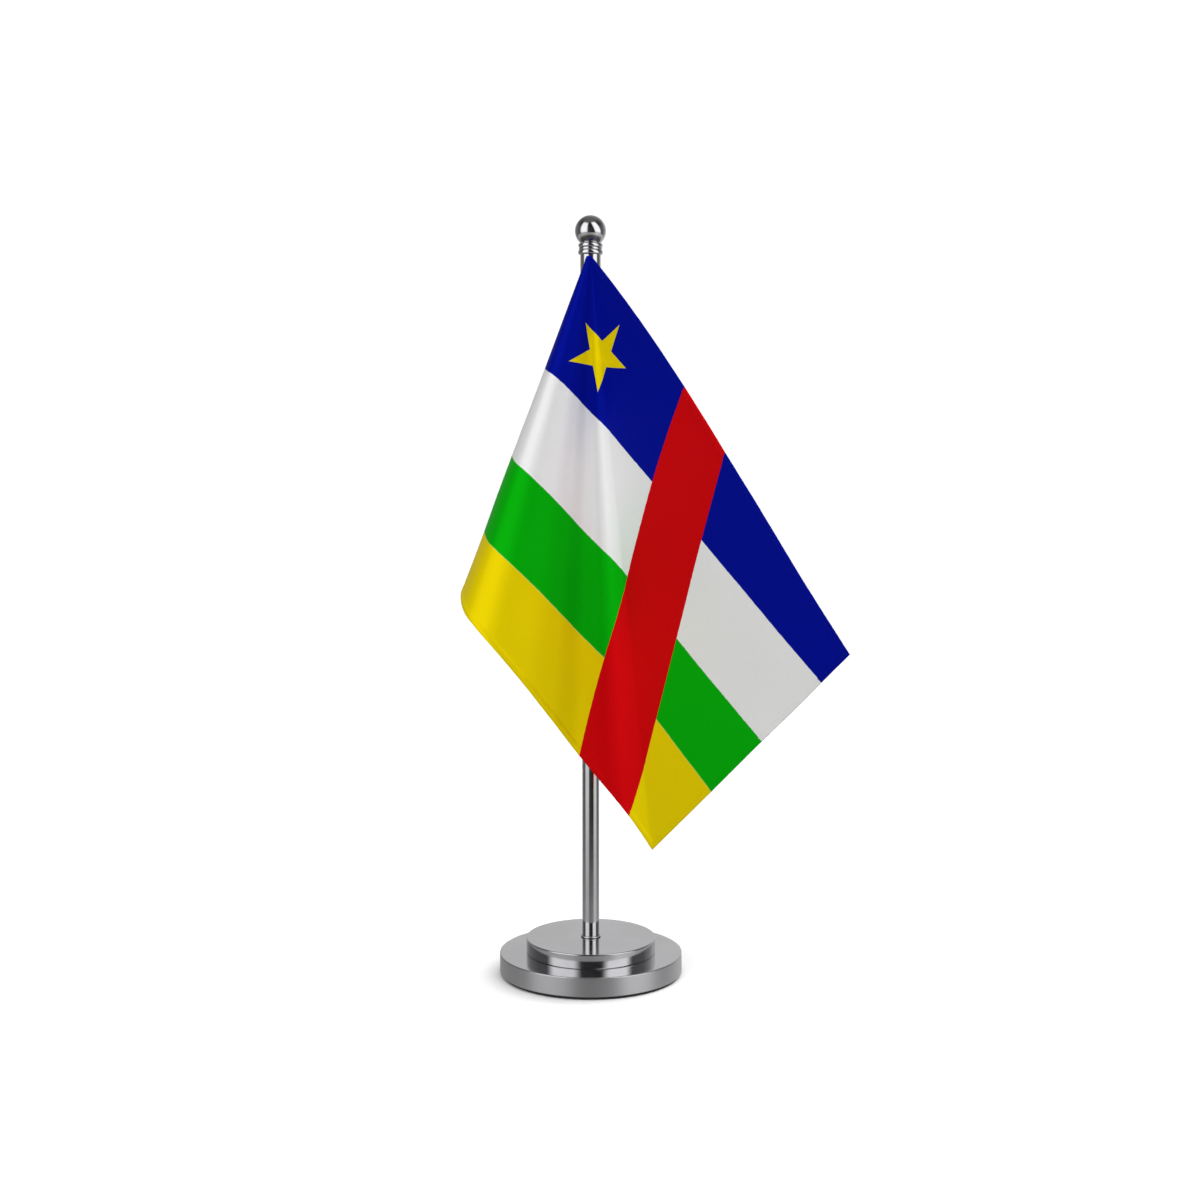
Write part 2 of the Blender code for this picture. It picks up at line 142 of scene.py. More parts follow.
# Print, in millimetres. Each line runs from one side of the cloth to the other, and the third
# number says how far its middle lies off the straight line.
STRIPE_LINES = ((52.6, 19.5, 1.4), (91.3, 62.2, 3.6), (126.6, 101.4, 2.0))
BAND_LEFT = (83.3, 169.7, -5.8)
BAND_RIGHT = (120.2, 206.3, 0.0)
STAR_CENTRE = (38.1, 24.9)
STAR_RADIUS = 16.6
STAR_TILT = 191.2  # degrees, of one tip from the fly's direction, turning down
PRINT_EDGE = 0.12  # half the width over which one colour turns into the next
PRINT_WANDER = 0.5  # how far the inks run out of line

# Sleeve.
SLEEVE_THICKNESS = 0.3 * MM
SLEEVE_GAP = 0.1 * MM
SLEEVE_POINTS = 90
SLEEVE_ROWS = 96
SLEEVE_TOP_ROWS = 10
SLEEVE_TOP_ROUNDING = 1.2 * MM
SEAM_POINT = (0.9 * MM, -5.5 * MM)

# Cloth colours.
BLUE = (0.0012, 0.0052, 0.270)
WHITE = (0.80, 0.80, 0.80)
GREEN = (0.0022, 0.40, 0.0035)
YELLOW = (0.78, 0.61, 0.001)
RED = (0.60, 0.0025, 0.0045)
PRINT_GAP = (0.70, 0.72, 0.74)  # the hairline between two stripes
PRINT_GAP_STRENGTH = 0.14
SATIN_SHINE = 0.22  # how much of the satin's shine takes the cloth's colour
SATIN_EDGE_TINT = (0.25, 0.25, 0.25)  # of that shine, where the cloth is seen edge on


# ---------------------------------------------------------------- meshes

def add_piece(name, mesh, finish, smooth=True):
    obj = bpy.data.objects.new(name, mesh)
    bpy.context.scene.collection.objects.link(obj)
    if finish:
        mesh.materials.append(finish)
    if smooth:
        mesh.shade_smooth()
    return obj


def mesh_of(form, name):
    mesh = bpy.data.meshes.new(name)
    form.to_mesh(mesh)
    form.free()
    return mesh


def baked(obj):
    """The object with its modifiers made part of a plain mesh."""
    bpy.context.view_layer.update()
    graph = bpy.context.evaluated_depsgraph_get()
    mesh = bpy.data.meshes.new_from_object(obj.evaluated_get(graph))
    mesh.name = obj.name
    obj.modifiers.clear()
    obj.data = mesh
    return obj


def tidy_normals(obj, merge=1e-7):
    form = bmesh.new()
    form.from_mesh(obj.data)
    bmesh.ops.remove_doubles(form, verts=form.verts, dist=merge)
    bmesh.ops.recalc_face_normals(form, faces=form.faces)
    form.to_mesh(obj.data)
    form.free()
    return obj


def rounded(corners, steps=6):
    """An outline through (radius, height, rounding) corners, each rounded, with a close point on
    either side of it that keeps the flat faces flat."""
    outline = []
    count = len(corners)
    for i, (radius, height, fillet) in enumerate(corners):
        here = Vector((radius, height))
        if not fillet:
            outline.append(here)
            continue
        before = Vector(corners[i - 1][:2]) - here
        after = Vector(corners[(i + 1) % count][:2]) - here
        start = here + before.normalized() * fillet
        end = here + after.normalized() * fillet
        outline.append(here + before.normalized() * fillet * 1.5)
        for step in range(steps + 1):
            t = step / steps
            outline.append(start * (1 - t) ** 2 + here * 2 * t * (1 - t) + end * t**2)
        outline.append(here + after.normalized() * fillet * 1.5)
    return [(point.x, point.y) for point in outline]


def turned(name, outline, steps, finish):
    """A turned piece. Its outline is (radius, height), from the top down the outer side, and it is
    closed to a ring unless it starts and ends on the axis."""
    mesh = bpy.data.meshes.new(name)
    points = [(radius, 0.0, height) for radius, height in outline]
    edges = [(i, i + 1) for i in range(len(points) - 1)]
    if outline[0][0] > 0 or outline[-1][0] > 0:
        edges.append((len(points) - 1, 0))
    mesh.from_pydata(points, edges, [])
    obj = add_piece(name, mesh, finish, smooth=False)
    screw = obj.modifiers.new("Turn", "SCREW")
    screw.axis = "Z"
    screw.steps = steps
    screw.render_steps = steps
    screw.use_merge_vertices = True
    screw.merge_threshold = 1e-6
    tidy_normals(baked(obj))
    obj.data.shade_smooth()
    obj.data.set_sharp_from_angle(angle=math.radians(40))
    return obj


# ---------------------------------------------------------------- materials

class Recipe:
    """A node tree, with short ways to add to it."""

    def __init__(self, tree):
        self.tree = tree

    def put(self, socket, value):
        if isinstance(value, bpy.types.NodeSocket):
            self.tree.links.new(value, socket)
        else:
            socket.default_value = value

    def add(self, kind, inputs=(), **settings):
        node = self.tree.nodes.new(kind)
        for name, value in settings.items():
            setattr(node, name, value)
        for name, value in dict(inputs).items():
            self.put(node.inputs[name], value)
        return node

    def math(self, operation, *values):
        node = self.add("ShaderNodeMath", operation=operation)
        for socket, value in zip(node.inputs, values):
            self.put(socket, value)
        return node.outputs[0]

    def length(self, x, y):
        squares = self.math("ADD", self.math("MULTIPLY", x, x), self.math("MULTIPLY", y, y))
        return self.math("SQRT", squares)

    def span(self, value, start, end, low=0.0, high=1.0, smooth=True):
        """Low where value is start, high where it is end, and held beyond them."""
        inputs = {"Value": value, "From Min": start, "From Max": end, "To Min": low, "To Max": high}
        kind = "SMOOTHSTEP" if smooth else "LINEAR"
        return self.add("ShaderNodeMapRange", inputs, interpolation_type=kind).outputs["Result"]

    def blend(self, share, one, other):
        node = self.add("ShaderNodeMix", data_type="RGBA")
        for index, value in ((0, share), (6, one), (7, other)):
            if isinstance(value, tuple):
                value = (*value, 1.0)
            self.put(node.inputs[index], value)
        return node.outputs[2]

    def position(self):
        return self.add("ShaderNodeTexCoord").outputs["Object"]

    def apart(self, vector):
        return self.add("ShaderNodeSeparateXYZ", {"Vector": vector}).outputs

    def together(self, x, y, z=0.0):
        return self.add("ShaderNodeCombineXYZ", {"X": x, "Y": y, "Z": z}).outputs[0]

    def noise(self, vector, scale, detail=2.0, roughness=0.5):
        inputs = {"Vector": vector, "Scale": scale, "Detail": detail, "Roughness": roughness}
        return self.add("ShaderNodeTexNoise", inputs).outputs["Fac"]

    def bump(self, height, strength, distance, under=None):
        inputs = {"Height": height, "Strength": strength, "Distance": distance}
        if under is not None:
            inputs["Normal"] = under
        return self.add("ShaderNodeBump", inputs).outputs["Normal"]


class Finish(Recipe):
    """A material and its recipe."""

    def __init__(self, name):
        self.material = bpy.data.materials.new(name)
        self.material.use_nodes = True
        super().__init__(self.material.node_tree)
        self.shader = self.tree.nodes["Principled BSDF"]

    def shade(self, **sockets):
        for name, value in sockets.items():
            if isinstance(value, tuple):
                value = (*value, 1.0)
            self.put(self.shader.inputs[name.replace("_", " ")], value)
        return self.material


def turned_metal(name, colour, top_roughness, side_roughness, groove, smudge=0.03):
    """Metal from the lathe: fine rings on its flat faces and fine lines round its sides."""
    recipe = Finish(name)
    place = recipe.position()
    x, y, z = recipe.apart(place)[:3]
    along = recipe.math("ADD", recipe.length(x, y), z)
    lines = recipe.noise(recipe.together(along, 0.0), 9000.0, 3.0, 0.65)
    patches = recipe.noise(place, 45.0, 3.0)
    facing = recipe.apart(recipe.add("ShaderNodeNewGeometry").outputs["Normal"])[2]
    upward = recipe.span(recipe.math("ABSOLUTE", facing), 0.5, 0.9)
    plain = recipe.span(upward, 0.0, 1.0, side_roughness, top_roughness, smooth=False)
    spread = recipe.math("MULTIPLY_ADD", patches, smudge, plain)
    spread = recipe.math("MULTIPLY_ADD", lines, 0.04, spread)
    tint = recipe.span(patches, 0.3, 0.7)
    shade = tuple(0.93 * part for part in colour)
    return recipe.shade(
        Base_Color=recipe.blend(tint, shade, colour),
        Metallic=1.0,
        Roughness=recipe.math("SUBTRACT", spread, 0.5 * smudge + 0.02),
        Normal=recipe.bump(lines, groove, 0.00002),
    )


def polished_chrome(name, colour, roughness):
    """Bright plating, with the faint waviness and the few dull marks of handled metal."""
    recipe = Finish(name)
    place = recipe.position()
    marks = recipe.noise(place, 260.0, 4.0, 0.6)
    patches = recipe.noise(place, 70.0, 2.0)
    spread = recipe.span(marks, 0.45, 0.75, roughness, roughness + 0.05)
    tint = recipe.span(patches, 0.3, 0.7)
    shade = tuple(0.92 * part for part in colour)
    return recipe.shade(
        Base_Color=recipe.blend(tint, shade, colour),
        Metallic=1.0,
        Roughness=spread,
        Normal=recipe.bump(patches, 0.08, 0.0001),
    )


def plated_hardware(name, colour, dull, roughness):
    """Plain plated or brass fittings: clouded colour, with small pits."""
    recipe = Finish(name)
    place = recipe.position()
    clouds = recipe.noise(place, 350.0, 4.0, 0.6)
    pits = recipe.noise(place, 2500.0, 2.0)
    return recipe.shade(
        Base_Color=recipe.blend(recipe.span(clouds, 0.35, 0.65), dull, colour),
        Metallic=1.0,
        Roughness=recipe.span(clouds, 0.3, 0.7, roughness - 0.08, roughness + 0.1),
        Normal=recipe.bump(pits, 0.2, 0.00003),
    )


def black_felt():
    # Black felt. Its black rim under the lower disc is also painted shade: it stands in for the
    # contact shadow at the base's foot.
    recipe = Finish("black_felt")
    place = recipe.position()
    tufts = recipe.noise(place, 1400.0, 4.0, 0.7)
    clumps = recipe.noise(place, 180.0, 3.0)
    height = recipe.math("ADD", tufts, clumps)
    tips = recipe.span(tufts, 0.35, 0.7)
    return recipe.shade(
        Base_Color=recipe.blend(tips, (0.006, 0.006, 0.007), (0.03, 0.03, 0.032)),
        Roughness=recipe.span(clumps, 0.3, 0.7, 0.85, 0.98),
        Sheen_Weight=0.3,
        Sheen_Roughness=0.5,
        Normal=recipe.bump(height, 0.8, 0.0002),
    )


def past_line(recipe, value, line, along, length):
    """How far value lies past a line that runs over this length of the cloth."""
    start, end, bow = line
    share = recipe.math("DIVIDE", along, length)
    straight = recipe.math("MULTIPLY_ADD", share, end - start, start)
    hump = recipe.math("MULTIPLY", share, recipe.math("SUBTRACT", 1.0, share))
    return recipe.math("SUBTRACT", value, recipe.math("MULTIPLY_ADD", hump, 4 * bow, straight))


def star_distance(recipe, x, y):
    """How far a point lies outside the star, in millimetres; less than 0 is inside."""
    part = math.radians(36)
    dx = recipe.math("SUBTRACT", x, STAR_CENTRE[0])
    dy = recipe.math("SUBTRACT", y, STAR_CENTRE[1])
    far = recipe.length(dx, dy)
    turn = recipe.math("SUBTRACT", recipe.math("ARCTAN2", dy, dx), math.radians(STAR_TILT) - part)
    folded = recipe.math("FLOORED_MODULO", turn, 2 * part)
    folded = recipe.math("ABSOLUTE", recipe.math("SUBTRACT", folded, part))
    along = recipe.math("MULTIPLY", far, recipe.math("COSINE", folded))
    across = recipe.math("MULTIPLY", far, recipe.math("SINE", folded))
    inner = STAR_RADIUS * math.sin(math.radians(18)) / math.sin(math.radians(126))
    side = Vector((inner * math.sin(part), STAR_RADIUS - inner * math.cos(part))).normalized()
    out = recipe.math("MULTIPLY", recipe.math("SUBTRACT", along, STAR_RADIUS), side.x)
    return recipe.math("MULTIPLY_ADD", across, side.y, out)


def satin_surface(recipe, cloth, flat_x, flat_y):
    """Satin: long floats down the cloth, with slubs, a soft handle and a coloured shine."""
    across = recipe.math("MULTIPLY", flat_x, 9.0)
    threads = recipe.noise(recipe.together(across, flat_y), 0.35, 3.0, 0.7)
    wide = recipe.math("MULTIPLY", flat_x, 2.4)
    weave = recipe.noise(recipe.together(wide, flat_y), 1.1, 2.0)
    handle = recipe.noise(recipe.together(flat_x, flat_y), 0.05, 3.0)
    soft = recipe.bump(handle, 0.25, 0.0006)
    floats = recipe.bump(threads, 0.25, 0.0001, soft)
    lift = recipe.span(threads, 0.2, 0.8, 0.97, 1.03)
    tuned = recipe.add("ShaderNodeHueSaturation", {"Color": cloth, "Value": lift})
    return recipe.shade(
        Base_Color=tuned.outputs["Color"],
        Metallic=SATIN_SHINE,
        Specular_Tint=SATIN_EDGE_TINT,
        Roughness=recipe.span(threads, 0.25, 0.75, 0.36, 0.46),
        Specular_IOR_Level=0.06,
        Normal=recipe.bump(weave, 0.2, 0.00006, floats),
    )


def print_colour(recipe, place):
    """Four stripes, an upright band and a star, at a place in the cloth's flat measures."""
    u, v = recipe.apart(place)[:2]
    x = recipe.math("MULTIPLY", u, FLAG_HOIST / MM)
    y = recipe.math("MULTIPLY", v, FLAG_HOIST / MM)
    wavy = recipe.noise(recipe.together(x, y), 0.4, 2.0)
    wander = recipe.math("MULTIPLY", recipe.math("SUBTRACT", wavy, 0.5), PRINT_WANDER)

    colour = BLUE
    for line, ink in zip(STRIPE_LINES, (WHITE, GREEN, YELLOW)):
        past = recipe.math("ADD", past_line(recipe, y, line, x, FLAG_FLY / MM), wander)
        colour = recipe.blend(recipe.span(past, -PRINT_EDGE, PRINT_EDGE), colour, ink)
        gap = recipe.span(recipe.math("ABSOLUTE", past), 0.1, 0.3, PRINT_GAP_STRENGTH, 0.0)
        colour = recipe.blend(gap, colour, PRINT_GAP)

    star = star_distance(recipe, x, y)
    colour = recipe.blend(recipe.span(star, PRINT_EDGE, -PRINT_EDGE), colour, YELLOW)

    left = past_line(recipe, x, BAND_LEFT, y, FLAG_HOIST / MM)
    right = past_line(recipe, x, BAND_RIGHT, y, FLAG_HOIST / MM)
    within = recipe.math("MINIMUM", left, recipe.math("MULTIPLY", right, -1.0))
    within = recipe.math("ADD", within, wander)
    colour = recipe.blend(recipe.span(within, -PRINT_EDGE, PRINT_EDGE), colour, RED)
    return colour, x, y


def printed_satin():
    """White satin, printed the same on both faces."""
    recipe = Finish("printed_satin")
    place = recipe.add("ShaderNodeUVMap", uv_map="flat").outputs["UV"]
    return satin_surface(recipe, *print_colour(recipe, place))


def white_satin():
    recipe = Finish("white_satin")
    place = recipe.position()
    x, y, z = recipe.apart(place)[:3]
    round_it = recipe.math("MULTIPLY", recipe.math("ARCTAN2", y, x), 4.4)
    down = recipe.math("MULTIPLY", z, 1 / MM)
    clouds = recipe.noise(place, 60.0, 2.0)
    return satin_surface(recipe, recipe.blend(clouds, WHITE, (0.78, 0.79, 0.81)), round_it, down)


def sewing_thread(name, colour=None):
    """Twisted polyester thread. Without a colour it takes the print's, as printed cloth has it."""
    recipe = Finish(name)
    twist = recipe.noise(recipe.position(), 6000.0, 2.0)
    if colour is None:
        place = recipe.add("ShaderNodeAttribute", attribute_name="flat").outputs["Vector"]
        colour = print_colour(recipe, place)[0]
    lift = recipe.span(twist, 0.3, 0.7, 0.85, 1.05)
    tuned = recipe.add("ShaderNodeHueSaturation", {"Value": lift})
    recipe.put(tuned.inputs["Color"], (*colour, 1.0) if isinstance(colour, tuple) else colour)
    return recipe.shade(
        Base_Color=tuned.outputs["Color"],
        Roughness=recipe.span(twist, 0.3, 0.7, 0.45, 0.65),
        Specular_IOR_Level=0.2,
        Normal=recipe.bump(twist, 0.5, 0.00005),
    )


# ---------------------------------------------------------------- turned pieces

def make_pad(finish):
    # The pad is real felt. Its black rim, seen under the lower disc's edge, also paints the contact
    # shadow at the base's foot.
    low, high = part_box("base_pad")
    outline = rounded([
        (0.0, high.z, 0.0),
        (high.x, high.z, 0.25 * MM),
        (high.x, low.z, 0.35 * MM),
        (0.0, low.z, 0.0),
    ])
    pad = turned("felt_pad_and_painted_shade", outline, TURN_STEPS, finish)
    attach(pad, "stand")
    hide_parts("base_pad")


def make_disc(node, name, top_bore, step_height, foot_bore, finish, sunk=0.0):
    """A disc of the base, with softly broken edges. Its bore changes radius at a step. It can be
    sunk by the gap that the model leaves under it."""
    low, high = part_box(node)
    low.z -= sunk
    outline = rounded([
        (top_bore, high.z, 0.15 * MM),
        (high.x, high.z, DISC_EDGE),
        (high.x, low.z, DISC_EDGE),
        (foot_bore, low.z, 0.15 * MM),
        (foot_bore, step_height, 0.0),
        (top_bore, step_height, 0.0),
    ])
    disc = turned(name, outline, TURN_STEPS, finish)
    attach(disc, "stand")
    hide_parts(node)


def make_base(lower_steel, upper_steel):
    """The lower disc has a pocket for the screw's head, and the upper disc a seat for the pole."""
    screw_bore = BORE_DIAMETER / 2
    pocket = SCREW_POCKET_DIAMETER / 2
    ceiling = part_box("base_flat_washer")[1].z + SEAT_GAP
    make_disc("base_lower_disc", "lower_disc", screw_bore, ceiling, pocket, lower_steel)
    pole_foot, pole_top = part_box("pole_tube")
    seat = pole_top.x + POLE_CLEARANCE
    seat_floor = pole_foot.z - SEAT_GAP
    make_disc("base_upper_disc", "upper_disc", seat, seat_floor, screw_bore, upper_steel, DISC_SUNK)


def make_pole(finish, ring_finish):
    low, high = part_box("pole_tube")
    bore = high.x - POLE_WALL
    outline = rounded([
        (bore, high.z, 0.15 * MM),
        (high.x, high.z, 0.25 * MM),
        (high.x, low.z, 0.25 * MM),
        (bore, low.z, 0.15 * MM),
    ])
    pole = turned("pole", outline, SMALL_TURN_STEPS, finish)
    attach(pole, "stand")
    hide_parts("pole_tube")

    ring_low, ring_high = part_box("pole_seat_ring")
    inner = high.x + 0.05 * MM
    outline = rounded([
        (inner, ring_high.z, 0.1 * MM),
        (ring_high.x, ring_high.z, 0.4 * MM),
        (ring_high.x, ring_low.z, 0.15 * MM),
        (inner, ring_low.z, 0.1 * MM),
    ])
    ring = turned("seat_ring", outline, SMALL_TURN_STEPS, ring_finish)
    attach(ring, "stand")
    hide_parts("pole_seat_ring")


def make_finial(finish):
    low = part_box("finial_ferrule")[0]
    foot = low.z
    skirt = FERRULE_SKIRT_DIAMETER / 2
    groove = GROOVE_DIAMETER / 2
    bore = BORE_DIAMETER / 2
    collar = foot + FERRULE_SKIRT_HEIGHT
    height = collar
    beads = []
    for tall, across in BEADS:
        bulge = across / 2 - groove
        for step in range(BEAD_POINTS + 1):
            angle = math.pi * step / BEAD_POINTS
            out = groove + bulge * math.sin(angle) ** BEAD_FULLNESS
            beads.append((out, height + tall * (1 - math.cos(angle)) / 2))
        height += tall
    beads.reverse()
    lower = rounded([
        (bore, height, 0.0),
        (skirt, collar, 0.0),
        (skirt, foot, 0.3 * MM),
        (bore, foot, 0.15 * MM),
    ])
    outline = [lower[0], *beads, *lower[1:]]
    ferrule = turned("ferrule", outline, SMALL_TURN_STEPS, finish)
    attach(ferrule, "finial")
    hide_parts("finial_ferrule")

    ball_low, ball_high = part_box("finial_ball")
    radius = BALL_DIAMETER / 2
    centre = ball_high.z - radius
    last = math.pi - math.asin(BALL_FLAT_DIAMETER / 2 / radius)
    turns = [last * i / BALL_ROWS for i in range(1, BALL_ROWS + 1)]
    outline = [(0.0, ball_high.z)]
    outline += [(radius * math.sin(turn), centre + radius * math.cos(turn)) for turn in turns]
    bore_end = ball_low.z + BALL_BORE_DEPTH
    outline += [(bore, ball_low.z), (bore, bore_end), (0.0, bore_end)]
    ball = turned("ball", outline, SMALL_TURN_STEPS, finish)
    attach(ball, "finial")
    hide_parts("finial_ball")


def make_eyelet(finish):
    """A rolled eyelet: a barrel through the sleeve's top, with a rounded flange above and below."""
    low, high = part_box("sleeve_eyelet")
    bore = BORE_DIAMETER / 2
    barrel = bore + EYELET_SHEET
    edge = 0.14 * MM
    roll = 0.25 * MM
    outline = rounded([
        (bore, high.z, roll),
        (high.x, high.z, edge),
        (high.x, high.z - EYELET_SHEET, edge),
        (barrel, high.z - EYELET_SHEET, 0.0),
        (barrel, low.z + EYELET_SHEET, 0.0),
        (high.x, low.z + EYELET_SHEET, edge),
        (high.x, low.z, edge),
        (bore, low.z, roll),
    ])
    eyelet = turned("eyelet", outline, SMALL_TURN_STEPS, finish)
    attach(eyelet, "flag")
    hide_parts("sleeve_eyelet")


# ---------------------------------------------------------------- node trees for what repeats

def node_tree(name, inputs):
    """A geometry node tree with a geometry input and output, and these named inputs."""
    tree = bpy.data.node_groups.new(name, "GeometryNodeTree")
    tree.interface.new_socket("Geometry", in_out="INPUT", socket_type="NodeSocketGeometry")
    tree.interface.new_socket("Geometry", in_out="OUTPUT", socket_type="NodeSocketGeometry")
    for label, kind in inputs:
        tree.interface.new_socket(label, in_out="INPUT", socket_type="NodeSocket" + kind)
    entry = tree.nodes.new("NodeGroupInput")
    leave = tree.nodes.new("NodeGroupOutput")
    return Recipe(tree), entry.outputs, leave.inputs["Geometry"]


def run_tree(obj, tree, values):
    """Gives the tree's named inputs their values, and makes its result a plain mesh."""
    modifier = obj.modifiers.new("Nodes", "NODES")
    modifier.node_group = tree
    for item in tree.interface.items_tree:
        if item.in_out == "INPUT" and item.name in values:
            modifier[item.identifier] = values[item.name]
    return baked(obj)


def stitch_tree():
    """Stitches along a line of points, each of which carries the way that the cloth faces."""
    recipe, given, leave = node_tree(
        "stitches",
        [("Spacing", "Float"), ("Length", "Float"), ("Width", "Float"), ("Thread", "Material")],
    )
    curve = recipe.add("GeometryNodeMeshToCurve", {"Mesh": given["Geometry"]})
    spaced = recipe.add(
        "GeometryNodeResampleCurve",
        {"Curve": curve.outputs[0], "Length": given["Spacing"]},
        mode="LENGTH",
    )
    facing = recipe.add(
        "GeometryNodeInputNamedAttribute",
        {"Name": "facing"},
        data_type="FLOAT_VECTOR",
    )
    tangent = recipe.add("GeometryNodeInputTangent")
    upright = recipe.add(
        "FunctionNodeAlignRotationToVector",
        {"Vector": facing.outputs["Attribute"]},
        axis="Z",
    )
    turned_to = recipe.add(
        "FunctionNodeAlignRotationToVector",
        {"Rotation": upright.outputs[0], "Vector": tangent.outputs[0]},
        axis="X",
        pivot_axis="Z",
    )
    grain = recipe.add("GeometryNodeMeshUVSphere", {"Segments": 8, "Rings": 5, "Radius": 0.5})
    placed = recipe.add(
        "GeometryNodeInstanceOnPoints",
        {
            "Points": spaced.outputs[0],
            "Instance": grain.outputs["Mesh"],
            "Rotation": turned_to.outputs[0],
            "Scale": recipe.together(given["Length"], given["Width"], given["Width"]),
        },
    )
    real = recipe.add("GeometryNodeRealizeInstances", {"Geometry": placed.outputs[0]})
    smooth = recipe.add("GeometryNodeSetShadeSmooth", {"Geometry": real.outputs[0]})
    coloured = recipe.add(
        "GeometryNodeSetMaterial",
        {"Geometry": smooth.outputs[0], "Material": given["Thread"]},
    )
    recipe.put(leave, coloured.outputs[0])
    return recipe.tree


def thread_tree():
    """A rod with a screw thread on it: its side goes in and out once for each turn of the thread."""
    recipe, given, leave = node_tree(
        "screw_thread",
        [
            ("Radius", "Float"),
            ("Length", "Float"),
            ("Pitch", "Float"),
            ("Depth", "Float"),
            ("Metal", "Material"),
        ],
    )
    rod = recipe.add(
        "GeometryNodeMeshCylinder",
        {
            "Vertices": 36,
            "Side Segments": THREAD_RINGS,
            "Fill Segments": 1,
            "Radius": given["Radius"],
            "Depth": given["Length"],
        },
    )
    place = recipe.add("GeometryNodeInputPosition").outputs[0]
    x, y, z = recipe.apart(place)[:3]
    turn = recipe.math("DIVIDE", recipe.math("ARCTAN2", y, x), 2 * math.pi)
    climb = recipe.math("DIVIDE", z, given["Pitch"])
    twice = recipe.math("MULTIPLY", recipe.math("SUBTRACT", climb, turn), 2.0)
    wave = recipe.math("MULTIPLY_ADD", recipe.math("PINGPONG", twice, 1.0), 1.3, -0.15)
    flat_crest = recipe.math("MINIMUM", recipe.math("MAXIMUM", wave, 0.0), 1.0)
    cut = recipe.math("MULTIPLY", flat_crest, given["Depth"])
    keep = recipe.math("SUBTRACT", 1.0, recipe.math("DIVIDE", cut, given["Radius"]))
    kept_x = recipe.math("MULTIPLY", x, keep)
    kept_y = recipe.math("MULTIPLY", y, keep)
    threaded = recipe.add(
        "GeometryNodeSetPosition",
        {"Geometry": rod.outputs["Mesh"], "Position": recipe.together(kept_x, kept_y, z)},
    )
    coloured = recipe.add(
        "GeometryNodeSetMaterial",
        {"Geometry": threaded.outputs[0], "Material": given["Metal"]},
    )
    recipe.put(leave, coloured.outputs[0])
    return recipe.tree


def make_stud(finish):
    low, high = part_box("finial_stud")
    stud = add_piece("stud", bpy.data.meshes.new("stud"), None)
    run_tree(stud, thread_tree(), {
        "Radius": THREAD_DIAMETER / 2,
        "Length": high.z - low.z,
        "Pitch": THREAD_PITCH,
        "Depth": THREAD_DEPTH,
        "Metal": finish,
    })
    for vertex in stud.data.vertices:
        vertex.co.z += (high.z + low.z) / 2
    stud.data.shade_smooth()
    stud.data.set_sharp_from_angle(angle=math.radians(50))
    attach(stud, "stud")
    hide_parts("finial_stud")


# ---------------------------------------------------------------- flag

def direction(sideways, forward):
    """The unit vector that is so many degrees sideways and forward of straight down."""
    a = math.radians(sideways)
    b = math.radians(forward)
    return Vector((math.sin(a) * math.cos(b), -math.sin(b), -math.cos(a) * math.cos(b)))


def smooth_path(points, pieces):
    """A Catmull-Rom curve through all points but the first and the last."""
    path = []
    for before, start, end, after in zip(points, points[1:], points[2:], points[3:]):
        for i in range(pieces):
            t = i / pieces
            path.append(tuple(
                0.5 * (2 * p1 + (p2 - p0) * t + (2 * p0 - 5 * p1 + 4 * p2 - p3) * t**2
                       + (3 * p1 - p0 - 3 * p2 + p3) * t**3)
                for p0, p1, p2, p3 in zip(before, start, end, after)
            ))
    path.append(points[-2])
    return path


def folded_directions(fullness):
    """Directions from the hoist to the bottom fly corner, with the back's depth times fullness."""
    back = [(side, forward * fullness) for side, forward in BACK_DIRECTIONS]
    first = tuple(2 * a - b for a, b in zip(back[0], back[1]))
    beyond = tuple(a + (b - a) / 4 for a, b in zip(FLY_BOTTOM_DIRECTION, FLY_TOP_DIRECTION))
    points = [first, *back, *FRONT_DIRECTIONS, FLY_BOTTOM_DIRECTION, beyond]
    path = smooth_path(points, PIECES_PER_SPAN)
    return [direction(*point) for point in path]


def turned_through(directions):
    """The cloth angle at each direction, counted from the first."""
    angles = [0.0]
    for one, other in zip(directions, directions[1:]):
        angles.append(angles[-1] + one.angle(other))
    return angles


